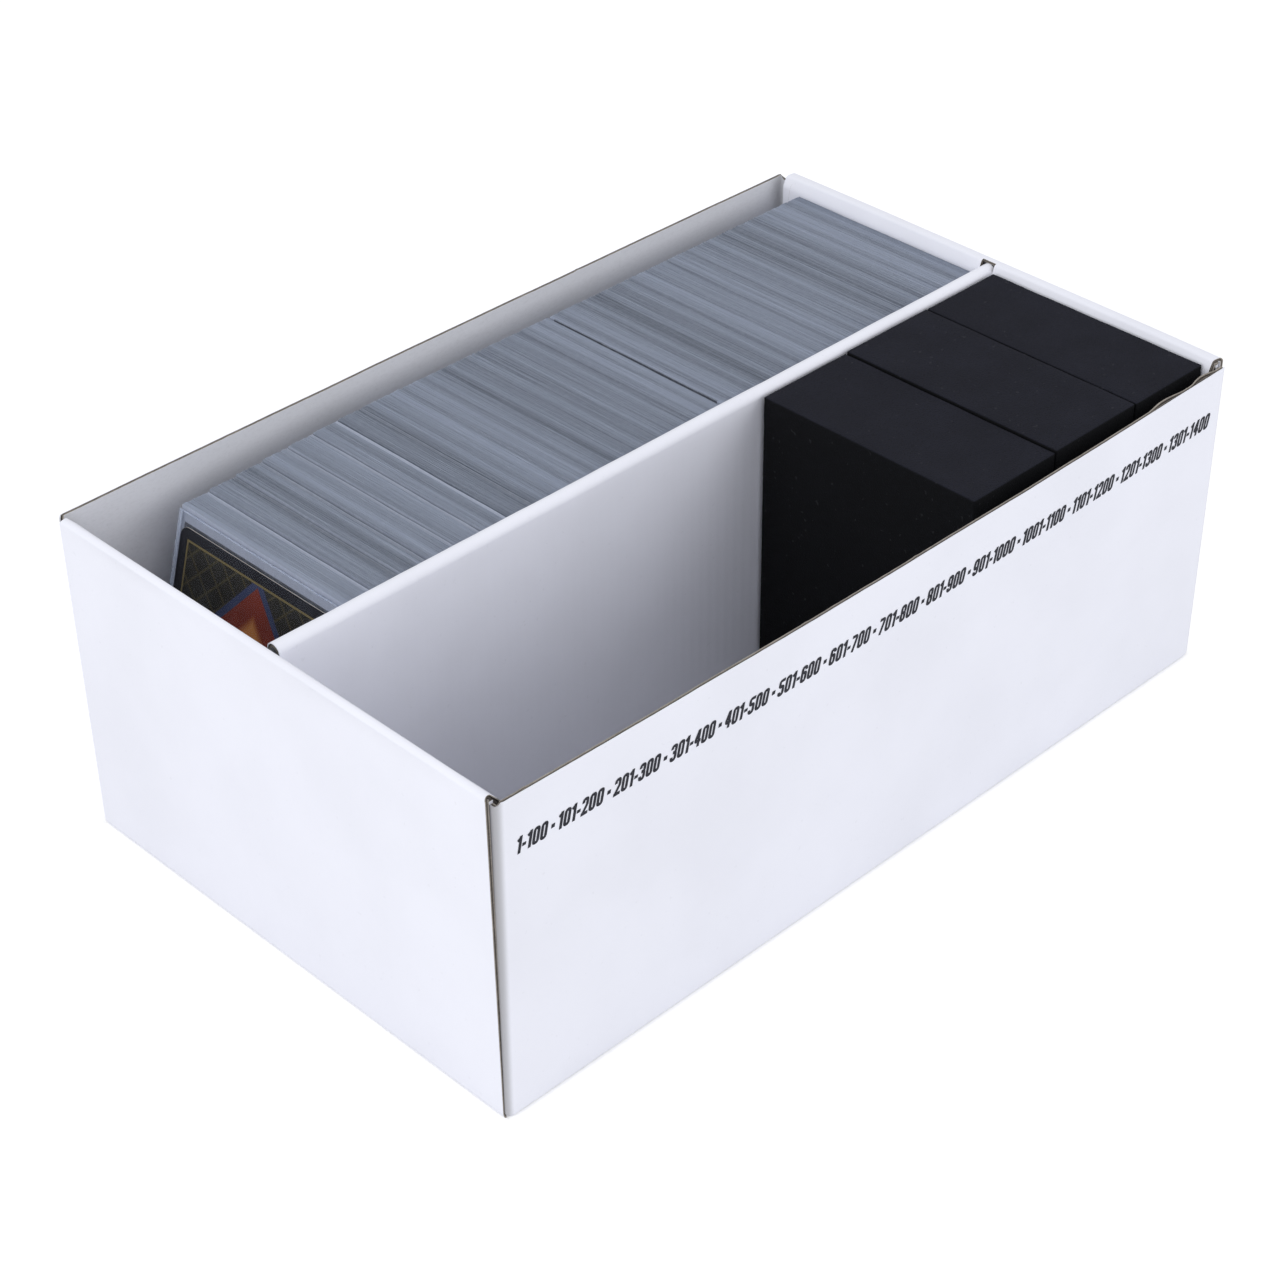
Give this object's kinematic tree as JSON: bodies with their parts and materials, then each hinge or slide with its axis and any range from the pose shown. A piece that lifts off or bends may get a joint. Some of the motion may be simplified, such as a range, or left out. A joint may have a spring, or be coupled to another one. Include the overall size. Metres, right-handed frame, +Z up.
{
  "type": "card storage box",
  "caption": "Open cardboard box with rolled ends and a lift-out divider, a row of sleeved cards on one side and foam filler blocks on the other.",
  "frame": {"origin": "middle of the underside, on the surface that the box stands on", "axes": "+X along the rows towards the far end with the foam, -Y towards the front long wall, +Z up"},
  "size_m": [0.267, 0.1654, 0.0976],
  "materials": {
    "white_board": "white-coated fluted board, raw grey-brown cut edges",
    "divider_board": "white-coated folded board",
    "sleeve_film": "clear soft polypropylene film",
    "card_face": "coated card with a black border and a thin gold line",
    "sleeved_cards": "edges of sleeved cards seen through clear film",
    "black_foam": "matte black fine-cell foam"
  },
  "bodies": {
    "tray": {"base_panel": "white_board", "front_wall": "white_board", "back_wall": "white_board", "near_front_flap": "white_board", "far_front_flap": "white_board", "near_back_flap": "white_board", "far_back_flap": "white_board", "near_outer_panel": "white_board", "far_outer_panel": "white_board", "near_spine": "white_board", "far_spine": "white_board", "near_inner_panel": "white_board", "far_inner_panel": "white_board"},
    "divider": {"divider": "divider_board"},
    "front_sleeve": {"front_sleeve": "sleeve_film"},
    "front_card": {"front_card": "card_face"},
    "leaning_pack_1": {"leaning_pack_1": "sleeved_cards"},
    "leaning_pack_2": {"leaning_pack_2": "sleeved_cards"},
    "leaning_pack_3": {"leaning_pack_3": "sleeved_cards"},
    "leaning_pack_4": {"leaning_pack_4": "sleeved_cards"},
    "leaning_pack_5": {"leaning_pack_5": "sleeved_cards"},
    "leaning_pack_6": {"leaning_pack_6": "sleeved_cards"},
    "leaning_pack_7": {"leaning_pack_7": "sleeved_cards"},
    "upright_pack_1": {"upright_pack_1": "sleeved_cards"},
    "upright_pack_2": {"upright_pack_2": "sleeved_cards"},
    "upright_pack_3": {"upright_pack_3": "sleeved_cards"},
    "upright_pack_4": {"upright_pack_4": "sleeved_cards"},
    "upright_pack_5": {"upright_pack_5": "sleeved_cards"},
    "upright_pack_6": {"upright_pack_6": "sleeved_cards"},
    "upright_pack_7": {"upright_pack_7": "sleeved_cards"},
    "upright_pack_8": {"upright_pack_8": "sleeved_cards"},
    "upright_pack_9": {"upright_pack_9": "sleeved_cards"},
    "upright_pack_10": {"upright_pack_10": "sleeved_cards"},
    "upright_pack_11": {"upright_pack_11": "sleeved_cards"},
    "upright_pack_12": {"upright_pack_12": "sleeved_cards"},
    "foam_block_1": {"foam_block_1": "black_foam"},
    "foam_block_2": {"foam_block_2": "black_foam"},
    "foam_block_3": {"foam_block_3": "black_foam"}
  },
  "joints": [
    {"name": "divider_lift", "type": "slide", "parent": "tray", "child": "divider", "axis": [0, 0, 1], "range_m": [0, 0.1]},
    {"name": "leaning_pack_1_leaf", "type": "hinge", "parent": "tray", "child": "leaning_pack_1", "pos_m": [-0.12444, 0.03795, 0.0014], "axis": [0, -1, 0], "range_deg": [0, 14.39]},
    {"name": "front_sleeve_leaf", "type": "hinge", "parent": "tray", "child": "front_sleeve", "pos_m": [-0.1277, 0.03795, 0.0014], "axis": [0, -1, 0], "range_deg": [0, 15.8]},
    {"name": "front_card_pull", "type": "slide", "parent": "front_sleeve", "child": "front_card", "axis": [0.2723, 0, 0.9622], "range_m": [0, 0.092]},
    {"name": "leaning_pack_2_leaf", "type": "hinge", "parent": "tray", "child": "leaning_pack_2", "pos_m": [-0.11339, 0.03795, 0.0014], "axis": [0, -1, 0], "range_deg": [0, 12.92]},
    {"name": "leaning_pack_3_leaf", "type": "hinge", "parent": "tray", "child": "leaning_pack_3", "pos_m": [-0.10229, 0.03795, 0.0014], "axis": [0, -1, 0], "range_deg": [0, 11.37]},
    {"name": "leaning_pack_4_leaf", "type": "hinge", "parent": "tray", "child": "leaning_pack_4", "pos_m": [-0.09109, 0.03795, 0.0014], "axis": [0, -1, 0], "range_deg": [0, 9.73]},
    {"name": "leaning_pack_5_leaf", "type": "hinge", "parent": "tray", "child": "leaning_pack_5", "pos_m": [-0.07974, 0.03795, 0.0014], "axis": [0, -1, 0], "range_deg": [0, 7.95]},
    {"name": "leaning_pack_6_leaf", "type": "hinge", "parent": "tray", "child": "leaning_pack_6", "pos_m": [-0.06813, 0.03795, 0.0014], "axis": [0, -1, 0], "range_deg": [0, 5.99]},
    {"name": "leaning_pack_7_leaf", "type": "hinge", "parent": "tray", "child": "leaning_pack_7", "pos_m": [-0.05602, 0.03795, 0.0014], "axis": [0, -1, 0], "range_deg": [0, 3.69]},
    {"name": "upright_pack_1_lift", "type": "slide", "parent": "tray", "child": "upright_pack_1", "axis": [0, 0, 1], "range_m": [0, 0.1]},
    {"name": "upright_pack_2_lift", "type": "slide", "parent": "tray", "child": "upright_pack_2", "axis": [0, 0, 1], "range_m": [0, 0.1]},
    {"name": "upright_pack_3_lift", "type": "slide", "parent": "tray", "child": "upright_pack_3", "axis": [0, 0, 1], "range_m": [0, 0.1]},
    {"name": "upright_pack_4_lift", "type": "slide", "parent": "tray", "child": "upright_pack_4", "axis": [0, 0, 1], "range_m": [0, 0.1]},
    {"name": "upright_pack_5_lift", "type": "slide", "parent": "tray", "child": "upright_pack_5", "axis": [0, 0, 1], "range_m": [0, 0.1]},
    {"name": "upright_pack_6_lift", "type": "slide", "parent": "tray", "child": "upright_pack_6", "axis": [0, 0, 1], "range_m": [0, 0.1]},
    {"name": "upright_pack_7_lift", "type": "slide", "parent": "tray", "child": "upright_pack_7", "axis": [0, 0, 1], "range_m": [0, 0.1]},
    {"name": "upright_pack_8_lift", "type": "slide", "parent": "tray", "child": "upright_pack_8", "axis": [0, 0, 1], "range_m": [0, 0.1]},
    {"name": "upright_pack_9_lift", "type": "slide", "parent": "tray", "child": "upright_pack_9", "axis": [0, 0, 1], "range_m": [0, 0.1]},
    {"name": "upright_pack_10_lift", "type": "slide", "parent": "tray", "child": "upright_pack_10", "axis": [0, 0, 1], "range_m": [0, 0.1]},
    {"name": "upright_pack_11_lift", "type": "slide", "parent": "tray", "child": "upright_pack_11", "axis": [0, 0, 1], "range_m": [0, 0.1]},
    {"name": "upright_pack_12_lift", "type": "slide", "parent": "tray", "child": "upright_pack_12", "axis": [0, 0, 1], "range_m": [0, 0.1]},
    {"name": "foam_block_1_lift", "type": "slide", "parent": "tray", "child": "foam_block_1", "axis": [0, 0, 1], "range_m": [0, 0.1]},
    {"name": "foam_block_2_lift", "type": "slide", "parent": "tray", "child": "foam_block_2", "axis": [0, 0, 1], "range_m": [0, 0.1]},
    {"name": "foam_block_3_lift", "type": "slide", "parent": "tray", "child": "foam_block_3", "axis": [0, 0, 1], "range_m": [0, 0.1]}
  ],
  "couplings": [
    {"joint": "front_sleeve_leaf", "follows": "leaning_pack_1_leaf", "ratio": 1.098},
    {"joint": "leaning_pack_2_leaf", "follows": "leaning_pack_1_leaf", "ratio": 0.89771},
    {"joint": "leaning_pack_3_leaf", "follows": "leaning_pack_1_leaf", "ratio": 0.79015},
    {"joint": "leaning_pack_4_leaf", "follows": "leaning_pack_1_leaf", "ratio": 0.67589},
    {"joint": "leaning_pack_5_leaf", "follows": "leaning_pack_1_leaf", "ratio": 0.55261},
    {"joint": "leaning_pack_6_leaf", "follows": "leaning_pack_1_leaf", "ratio": 0.41606},
    {"joint": "leaning_pack_7_leaf", "follows": "leaning_pack_1_leaf", "ratio": 0.25611}
  ]
}
